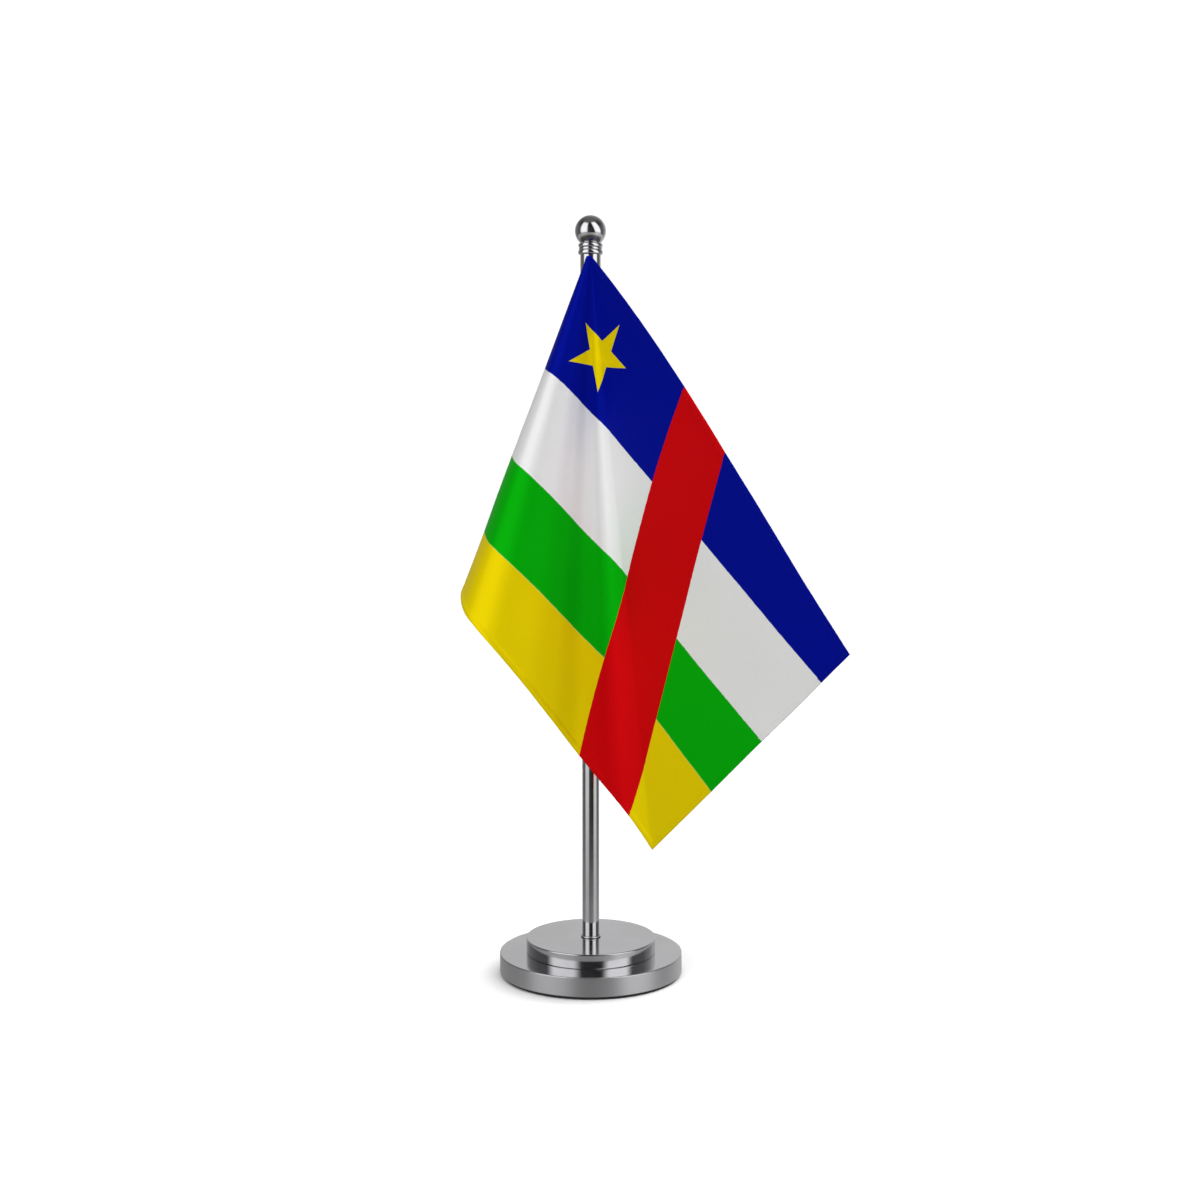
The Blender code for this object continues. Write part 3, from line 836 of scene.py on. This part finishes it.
class Drape:
    """The hanging cloth: straight lines from its top corner, folded once behind itself."""

    def __init__(self):
        corner = math.atan2(FLAG_FLY, FLAG_HOIST)
        low = 0.0
        high = MOST_FULLNESS
        for _ in range(FULLNESS_TRIES):
            fullness = (low + high) / 2
            aims = folded_directions(fullness)
            if turned_through(aims)[-1] < corner:
                low = fullness
            else:
                high = fullness
        self.angles = turned_through(aims)
        self.aims = aims
        start = direction(*FLY_BOTTOM_DIRECTION)
        end = direction(*FLY_TOP_DIRECTION)
        span = start.angle(end)
        for i in range(1, FLAT_COLUMNS + 1):
            share = i / FLAT_COLUMNS
            turn = start * math.sin((1 - share) * span) + end * math.sin(share * span)
            self.aims.append(turn.normalized())
            self.angles.append(corner + share * (math.pi / 2 - corner))
        self.corner = corner
        self.outwards = (end * start.dot(end) - start).normalized()

        front = FERRULE_SKIRT_DIAMETER / 2 + CLOTH_STANDS_OFF
        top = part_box("finial_ferrule")[0].z + CORNER_ABOVE_FERRULE_FOOT
        fold = min(zip(self.aims, self.angles), key=lambda pair: pair[0].x)[1]
        loop = math.radians(FOLD_LOOP_SPAN)
        self.starts = []
        for angle in self.angles:
            share = min(1.0, max(0.0, (angle - fold + loop) / (2 * loop)))
            step = FOLD_LOOP_RADIUS * (1 - math.cos(math.pi * share))
            bulge = FOLD_LOOP_RADIUS * math.sin(math.pi * share)
            self.starts.append(Vector((-bulge, -front - step, top)))

    def ruling(self, angle):
        i = bisect.bisect_right(self.angles, angle) - 1
        i = min(max(i, 0), len(self.angles) - 2)
        t = (angle - self.angles[i]) / (self.angles[i + 1] - self.angles[i])
        aim = self.aims[i].lerp(self.aims[i + 1], t).normalized()
        return self.starts[i].lerp(self.starts[i + 1], t), aim

    def bow(self, angle, reach):
        """How far the cloth bends outwards of its straight lines, near its top edge."""
        across = max(0.0, (angle - self.corner) / (math.pi / 2 - self.corner))
        along = min(1.0, reach * math.sin(angle) / FLAG_FLY)
        most_at_a_third = 27 / 4 * along * (1 - along) ** 2
        return self.outwards * (TOP_EDGE_BOW * across**2 * most_at_a_third)

    def place(self, x, y):
        """Where the flat cloth's point (x, y) hangs, and the way that its printed face looks."""
        angle = math.atan2(x, y)
        reach = math.hypot(x, y)
        start, aim = self.ruling(angle)
        small = math.radians(0.15)
        start_1, aim_1 = self.ruling(max(angle - small, 0.0))
        start_2, aim_2 = self.ruling(min(angle + small, math.pi / 2))
        across = (start_2 + aim_2 * reach) - (start_1 + aim_1 * reach)
        face = aim.cross(across).normalized()
        point = start + aim * reach + self.bow(angle, reach)
        return point + face * unevenness(x, y), face


def smooth_step(value, low, high):
    t = min(1.0, max(0.0, (value - low) / (high - low)))
    return t * t * (3 - 2 * t)


def from_edge(x, y):
    """The distance to the nearest hemmed edge: the top, the fly or the bottom."""
    return min(y, FLAG_FLY - x, FLAG_HOIST - y)


def unevenness(x, y):
    """Small waves in the cloth, and the puckers that the stitches draw along the hems."""
    reach = math.hypot(x, y)
    soft = noise.noise(Vector((x / WAVE_LENGTH, y / WAVE_LENGTH, 3.1)))
    body = WAVE_HEIGHT * soft * smooth_step(reach, 8 * MM, 70 * MM)
    edge = from_edge(x, y)
    gather = noise.noise(Vector((x / PUCKER_LENGTH, y / PUCKER_LENGTH, 9.7)))
    pucker = PUCKER_HEIGHT * gather * (1 - smooth_step(edge, HEM_WIDTH, 3 * HEM_WIDTH))
    return body + pucker * smooth_step(reach, 3 * MM, 15 * MM)


def cloth_half(x, y):
    """Half of the cloth's thickness, which is more in the folded hems."""
    edge = from_edge(x, y)
    hem = 1 - smooth_step(edge, HEM_WIDTH - HEM_STEP, HEM_WIDTH + HEM_STEP)
    full = CLOTH_THICKNESS + (HEM_THICKNESS - CLOTH_THICKNESS) * hem
    rim = 0.45 + 0.55 * smooth_step(max(edge, 0.0), 0.0, 0.2 * MM)
    return full * rim / 2


def make_flag(drape, finish):
    """Both faces of the cloth, closed round its edges, with its flat measures as its UV map."""
    hem_step = [HEM_WIDTH + 0.8 * MM, HEM_WIDTH + HEM_STEP, HEM_WIDTH, HEM_WIDTH - HEM_STEP]
    hem_rows = [*hem_step, 1.2 * MM, 0.3 * MM, 0.12 * MM, 0.0]
    form = bmesh.new()
    flat = form.loops.layers.uv.new("flat")
    grid = []
    for angle in drape.angles:
        bottom = angle <= drape.corner
        side = FLAG_HOIST if bottom else FLAG_FLY
        reach = side / (math.cos(angle) if bottom else math.sin(angle))
        plain = 1 - hem_rows[0] / side
        first = CORNER_START / reach
        shares = [first + (plain - first) * (i / CLOTH_ROWS) ** 1.2 for i in range(CLOTH_ROWS)]
        shares += [1 - gap / side for gap in hem_rows]
        column = []
        for share in shares:
            x = reach * share * math.sin(angle)
            y = reach * share * math.cos(angle)
            point, face = drape.place(x, y)
            half = face * cloth_half(x, y)
            pair = (form.verts.new(point + half), form.verts.new(point - half))
            column.append((pair, (x / FLAG_HOIST, y / FLAG_HOIST)))
        grid.append(column)

    def quad(corners):
        made = form.faces.new([vert for vert, _ in corners])
        for loop, (_, place) in zip(made.loops, corners):
            loop[flat].uv = place

    def rim(one, other):
        """The narrow face that closes the cloth's edge from one point to the next."""
        (front, back), place = one
        (next_front, next_back), next_place = other
        quad([(front, place), (back, place), (next_back, next_place), (next_front, next_place)])

    last_row = len(grid[0]) - 1
    for left, right in zip(grid, grid[1:]):
        for j in range(last_row):
            around = (left[j], left[j + 1], right[j + 1], right[j])
            quad([(pair[0], place) for pair, place in around])
            quad([(pair[1], place) for pair, place in reversed(around)])
        rim(left[0], right[0])
        rim(left[-1], right[-1])
    for column in (grid[0], grid[-1]):
        for one, other in zip(column, column[1:]):
            rim(one, other)
    bmesh.ops.recalc_face_normals(form, faces=form.faces)
    flag = add_piece("flag", mesh_of(form, "flag"), finish)
    flag.data.set_sharp_from_angle(angle=math.radians(60))
    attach(flag, "flag")
    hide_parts("flag_cloth")
    return flag


def seam_line(points, faces, places):
    """A mesh of one line of points, each with the way that its cloth faces and its flat place."""
    mesh = bpy.data.meshes.new("seam_line")
    mesh.from_pydata(points, [(i, i + 1) for i in range(len(points) - 1)], [])
    for name, values in (("facing", faces), ("flat", places)):
        attribute = mesh.attributes.new(name, "FLOAT_VECTOR", "POINT")
        for item, value in zip(attribute.data, values):
            item.vector = value
    return mesh


def joined(name, pieces, finish):
    """One object from several."""
    form = bmesh.new()
    for piece in pieces:
        form.from_mesh(piece.data)
        bpy.data.objects.remove(piece)
    for face in form.faces:
        face.material_index = 0
    return add_piece(name, mesh_of(form, name), finish)


def stitch_row(points, faces, places, tree, thread):
    row = add_piece("stitch_row", seam_line(points, faces, places), None, smooth=False)
    return run_tree(row, tree, {
        "Spacing": STITCH_SPACING,
        "Length": STITCH_LENGTH,
        "Width": STITCH_WIDTH,
        "Thread": thread,
    })


def make_hem_stitches(drape, tree, thread):
    """A row of stitches on both faces, along the top, the fly and the bottom edge."""
    inset = STITCH_LINE
    right = FLAG_FLY - inset
    bottom = FLAG_HOIST - inset
    lines = (
        ((6 * MM, inset), (right, inset)),
        ((right, inset), (right, bottom)),
        ((right, bottom), (0.5 * MM, bottom)),
    )
    step = 1.2 * MM
    rows = []
    for side in (1, -1):
        for (x0, y0), (x1, y1) in lines:
            count = round(math.hypot(x1 - x0, y1 - y0) / step)
            points = []
            faces = []
            places = []
            for i in range(count + 1):
                x = x0 + (x1 - x0) * i / count
                y = y0 + (y1 - y0) * i / count
                point, face = drape.place(x, y)
                points.append(point + face * side * (HEM_THICKNESS / 2 + 0.01 * MM))
                faces.append(face * side)
                places.append((x / FLAG_HOIST, y / FLAG_HOIST, 0.0))
            rows.append(stitch_row(points, faces, places, tree, thread))
    stitches = joined("hem_stitches", rows, thread)
    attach(stitches, "flag")
    return stitches


# ---------------------------------------------------------------- sleeve

def sleeve_radius():
    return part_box("pole_tube")[1].x + SLEEVE_GAP + SLEEVE_THICKNESS / 2


def sleeve_outline(radius):
    """The sleeve's section: round the pole, and drawn out to the seam in front of it."""
    tip = Vector(SEAM_POINT)
    lean = math.atan2(tip.y, tip.x)
    half = math.acos(radius / tip.length)
    first = lean + half
    last = lean - half + 2 * math.pi
    tail = 6
    arc_points = SLEEVE_POINTS - 2 * tail
    arc = []
    for i in range(arc_points + 1):
        angle = first + (last - first) * i / arc_points
        arc.append(Vector((radius * math.cos(angle), radius * math.sin(angle))))
    towards = [tip.lerp(arc[0], i / tail) for i in range(tail)]
    back = [arc[-1].lerp(tip, i / tail) for i in range(1, tail)]
    return [*towards, *arc, *back]


def sleeve_ring(form, section, z, foot):
    """One row of the sleeve's side, with soft folds and the hem at its foot."""
    ring = []
    for point in section:
        turn = math.atan2(point.y, point.x)
        spot = Vector((math.cos(turn) * 1.6, math.sin(turn) * 1.6, z / (16 * MM)))
        fold = max(0.0, noise.noise(spot)) * 0.45 * MM
        hem = 0.12 * MM * (1 - smooth_step(z, foot + 3 * MM, foot + 3.6 * MM))
        out = point.normalized() * (fold * smooth_step(z, foot, foot + 12 * MM) + hem)
        ring.append(form.verts.new((point.x + out.x, point.y + out.y, z)))
    return ring


def make_sleeve(finish):
    """The sleeve that the pole goes into, closed at its top round the eyelet."""
    low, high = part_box("flag_sleeve")
    radius = sleeve_radius()
    section = sleeve_outline(radius)
    hole = BORE_DIAMETER / 2 + 0.35 * MM
    shoulder = high.z - SLEEVE_THICKNESS - SLEEVE_TOP_ROUNDING
    form = bmesh.new()
    rings = []
    for row in range(SLEEVE_ROWS + 1):
        z = low.z + (shoulder - low.z) * row / SLEEVE_ROWS
        rings.append(sleeve_ring(form, section, z, low.z))
    rounding = SLEEVE_TOP_ROUNDING / radius
    for row in range(1, SLEEVE_TOP_ROWS + 1):
        share = row / SLEEVE_TOP_ROWS
        turn = math.pi / 2 * min(1.0, 2 * share)
        shrink = 1 - rounding * (1 - math.cos(turn))
        if share > 0.5:
            shrink = 1 - rounding + (hole / radius - 1 + rounding) * (2 * share - 1)
        z = shoulder + SLEEVE_TOP_ROUNDING * math.sin(turn)
        ring = []
        for point in section:
            held = point.normalized() * radius
            flat = point.lerp(held, smooth_step(share, 0.0, 0.5))
            ring.append(form.verts.new((flat.x * shrink, flat.y * shrink, z)))
        rings.append(ring)
    for lower, upper in zip(rings, rings[1:]):
        for i in range(len(lower)):
            j = (i + 1) % len(lower)
            form.faces.new((lower[i], lower[j], upper[j], upper[i]))
    sleeve = add_piece("sleeve", mesh_of(form, "sleeve"), finish)
    solidify = sleeve.modifiers.new("Thickness", "SOLIDIFY")
    solidify.thickness = SLEEVE_THICKNESS
    solidify.offset = 0
    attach(sleeve, "flag")
    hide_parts("flag_sleeve")
    return sleeve


def make_sleeve_stitches(drape, tree, thread):
    """The seam down the hoist, and the hem round the sleeve's foot."""
    start = 9 * MM
    end = FLAG_HOIST - 2 * MM
    steps = 119
    rows = []
    for side in (1, -1):
        points = []
        faces = []
        places = []
        for i in range(steps + 1):
            y = start + (end - start) * i / steps
            point, face = drape.place(SEAM_INSET, y)
            points.append(point + face * side * (CLOTH_THICKNESS / 2 + 0.04 * MM))
            faces.append(face * side)
            places.append((SEAM_INSET / FLAG_HOIST, y / FLAG_HOIST, 0.0))
        rows.append(stitch_row(points, faces, places, tree, thread))
    section = sleeve_outline(sleeve_radius() + SLEEVE_THICKNESS / 2 + 0.16 * MM)
    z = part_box("flag_sleeve")[0].z + SLEEVE_HEM_STITCHES
    points = [(point.x, point.y, z) for point in section]
    faces = [(point.x, point.y, 0.0) for point in section]
    places = [(0.0, 0.0, 0.0)] * len(points)
    rows.append(stitch_row(points, faces, places, tree, thread))
    stitches = joined("sleeve_stitches", rows, thread)
    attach(stitches, "flag")
    return stitches


# ---------------------------------------------------------------- studio

def make_world():
    """A studio, as polished metal mirrors it: two tall soft windows in front, a dark room between
    and beside them, a grey wall behind and a grey table below. Matt surfaces get its even mean."""
    world = bpy.data.worlds.new("studio")
    bpy.context.scene.world = world
    world.use_nodes = True
    recipe = Recipe(world.node_tree)
    maths = recipe.math
    step = recipe.span

    x, y, z = recipe.apart(recipe.add("ShaderNodeTexCoord").outputs["Generated"])[:3]
    round_it = maths("DEGREES", maths("ARCTAN2", x, maths("MULTIPLY", y, -1.0)))
    up = maths("DEGREES", maths("ARCSINE", z))

    def wall(stops):
        """Brightness round the room, from (degrees, brightness) stops."""
        share = maths("MULTIPLY_ADD", round_it, 1 / 360, 0.5)
        ramp = recipe.add("ShaderNodeValToRGB", {"Fac": share})
        elements = ramp.color_ramp.elements
        while len(elements) < len(stops):
            elements.new(0.5)
        for element, (angle, bright) in zip(elements, stops):
            element.position = angle / 360 + 0.5
            element.color = (bright, bright, bright, 1.0)
        return ramp.outputs[0]

    def window(centre, half, low, high, soft, bright, lean=0.0):
        """A bright upright field with soft edges, all in degrees, whose middle may lean."""
        middle = maths("MULTIPLY_ADD", up, -lean, centre)
        off = maths("ABSOLUTE", maths("SUBTRACT", round_it, middle))
        wide = step(off, half - soft, half + soft, 1.0, 0.0)
        foot = step(up, low, low + 20.0)
        tall = maths("MULTIPLY", foot, step(up, high - soft, high + soft, 1.0, 0.0))
        return maths("MULTIPLY", maths("MULTIPLY", wide, tall), bright)

    room = wall([
        (-180, 0.66), (-160, 0.48), (-140, 0.26), (-108, 0.14), (-30, 0.06), (0, 0.04),
        (20, 0.025), (40, 0.03), (85, 0.12), (108, 0.15), (130, 0.36), (145, 0.62), (180, 0.66),
    ])
    table = wall([
        (-180, 0.35), (-140, 0.34), (-108, 0.40), (-68, 0.50), (-52, 0.56), (-22, 0.42),
        (0, 0.38), (22, 0.48), (52, 0.85), (87, 0.58), (108, 0.50), (140, 0.62), (180, 0.50),
    ])
    room = maths("MULTIPLY", room, step(up, 15.0, 40.0, 1.0, 0.5))
    table = maths("MULTIPLY", table, step(up, -42.0, -20.0, 0.15, 1.0))
    ceiling = step(up, 45.0, 75.0, 0.0, 1.0)
    below = maths("SUBTRACT", 1.0, ceiling)
    room = maths("MULTIPLY_ADD", ceiling, 0.16, maths("MULTIPLY", room, below))
    left = window(-50.0, 26.0, -22.0, 54.0, 9.0, 1.35)
    right = window(56.0, 22.5, -22.0, 60.0, 8.0, 1.45, 0.4)
    lit = maths("ADD", room, maths("ADD", left, right))
    low = step(up, -19.0, -12.0, 1.0, 0.0)
    high = maths("SUBTRACT", 1.0, low)
    mirrored = maths("MULTIPLY_ADD", low, table, maths("MULTIPLY", lit, high))
    soft = recipe.add("ShaderNodeLightPath").outputs["Is Diffuse Ray"]
    even = maths("MULTIPLY", soft, AMBIENT_LIGHT)
    bright = maths("MULTIPLY_ADD", mirrored, maths("SUBTRACT", 1.0, soft), even)
    background = recipe.tree.nodes["Background"]
    recipe.put(background.inputs["Color"], bright)
    recipe.put(background.inputs["Strength"], 1.0)


def hang_light(data, place, turn):
    """Puts up a light that shades the cloth and the floor, and isn't mirrored in the metal."""
    obj = bpy.data.objects.new(data.name, data)
    bpy.context.scene.collection.objects.link(obj)
    obj.location = place
    obj.rotation_euler = turn.to_euler()
    obj.visible_glossy = False
    obj.visible_camera = False


def soft_light(name, place, target, side, brightness):
    """A square soft light, with its side in metres."""
    data = bpy.data.lights.new(name, "AREA")
    data.shape = "SQUARE"
    data.size = side
    data.energy = brightness * math.pi * side**2
    aim = Vector(target) - Vector(place)
    hang_light(data, place, aim.to_track_quat("-Z", "Y"))


def daylight(name, towards, spread, brightness):
    """Even light from one side of the ceiling, as soft as its spread in degrees."""
    data = bpy.data.lights.new(name, "SUN")
    data.angle = math.radians(spread)
    data.energy = brightness
    hang_light(data, (0.0, 0.0, 0.0), Vector(towards).to_track_quat("Z", "Y"))


def make_studio():
    make_world()
    daylight("top_light", (0.35, 0.10, 1.0), 80.0, 3.3)
    soft_light("front_light", (-0.75, -1.6, 0.5), (0.0, 0.0, 0.24), 1.0, 7.5)

    form = bmesh.new()
    bmesh.ops.create_circle(form, cap_ends=True, segments=96, radius=12.0)
    floor_mesh = mesh_of(form, "floor")
    paint = Finish("floor_paint")
    grain = paint.noise(paint.position(), 6.0, 2.0)
    paint.shade(
        Base_Color=paint.blend(grain, (0.90, 0.90, 0.91), (0.93, 0.93, 0.93)),
        Roughness=0.9,
        Specular_IOR_Level=0.1,
    )
    floor = add_piece("floor", floor_mesh, paint.material)
    floor.visible_glossy = False
    floor.visible_diffuse = False

    form = bmesh.new()
    bmesh.ops.create_uvsphere(form, u_segments=64, v_segments=32, radius=14.0)
    sky_mesh = mesh_of(form, "backdrop")
    glow = bpy.data.materials.new("backdrop_glow")
    glow.use_nodes = True
    glow.node_tree.nodes.remove(glow.node_tree.nodes["Principled BSDF"])
    emission = glow.node_tree.nodes.new("ShaderNodeEmission")
    emission.inputs["Strength"].default_value = 1.05
    output = glow.node_tree.nodes["Material Output"]
    glow.node_tree.links.new(emission.outputs[0], output.inputs["Surface"])
    backdrop = add_piece("backdrop", sky_mesh, glow)
    backdrop.visible_diffuse = False
    backdrop.visible_glossy = False
    backdrop.visible_shadow = False
    backdrop.visible_transmission = False


def make_camera():
    data = bpy.data.cameras.new("camera")
    data.sensor_width = CAMERA_SENSOR
    data.lens = CAMERA_LENS
    data.clip_start = 0.01
    data.clip_end = 100.0
    camera = bpy.data.objects.new("camera", data)
    bpy.context.scene.collection.objects.link(camera)
    camera.location = CAMERA_PLACE
    camera.rotation_euler = (math.radians(CAMERA_PITCH), 0.0, 0.0)
    bpy.context.scene.camera = camera


def dress_hidden_hardware(zinc, brass):
    """The screw, its washers and the threaded inserts keep their own shapes."""
    for name, finish in (
        ("base_screw", zinc),
        ("base_lock_washer", zinc),
        ("base_flat_washer", zinc),
        ("pole_bottom_insert", brass),
        ("pole_top_insert", brass),
    ):
        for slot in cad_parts[name].material_slots:
            slot.material = finish


def main():
    bpy.context.scene.view_settings.view_transform = "Standard"
    make_camera()
    make_studio()

    zinc = plated_hardware("zinc_plate", (0.62, 0.61, 0.57), (0.48, 0.47, 0.44), 0.32)
    brass = plated_hardware("brass", (0.78, 0.60, 0.28), (0.60, 0.44, 0.19), 0.28)
    dress_hidden_hardware(zinc, brass)
    steel = (0.62, 0.62, 0.635)
    lower_steel = turned_metal("satin_steel", steel, 0.13, 0.30, 0.25)
    upper_steel = turned_metal("bright_steel", steel, 0.12, 0.10, 0.12)
    pole_chrome = polished_chrome("pole_chrome", (0.66, 0.66, 0.68), 0.06)
    finial_chrome = polished_chrome("finial_chrome", (0.66, 0.66, 0.68), 0.05)
    make_pad(black_felt())
    make_base(lower_steel, upper_steel)
    make_pole(pole_chrome, turned_metal("ring_steel", (0.85, 0.85, 0.86), 0.3, 0.3, 0.1))
    make_finial(finial_chrome)
    make_eyelet(brass)
    make_stud(zinc)

    drape = Drape()
    flag = make_flag(drape, printed_satin())
    stitches = stitch_tree()
    thread = sewing_thread("white_thread", (0.82, 0.82, 0.80))
    hem = make_hem_stitches(drape, stitches, sewing_thread("printed_thread"))
    sleeve = make_sleeve(white_satin())
    seams = make_sleeve_stitches(drape, stitches, thread)


main()
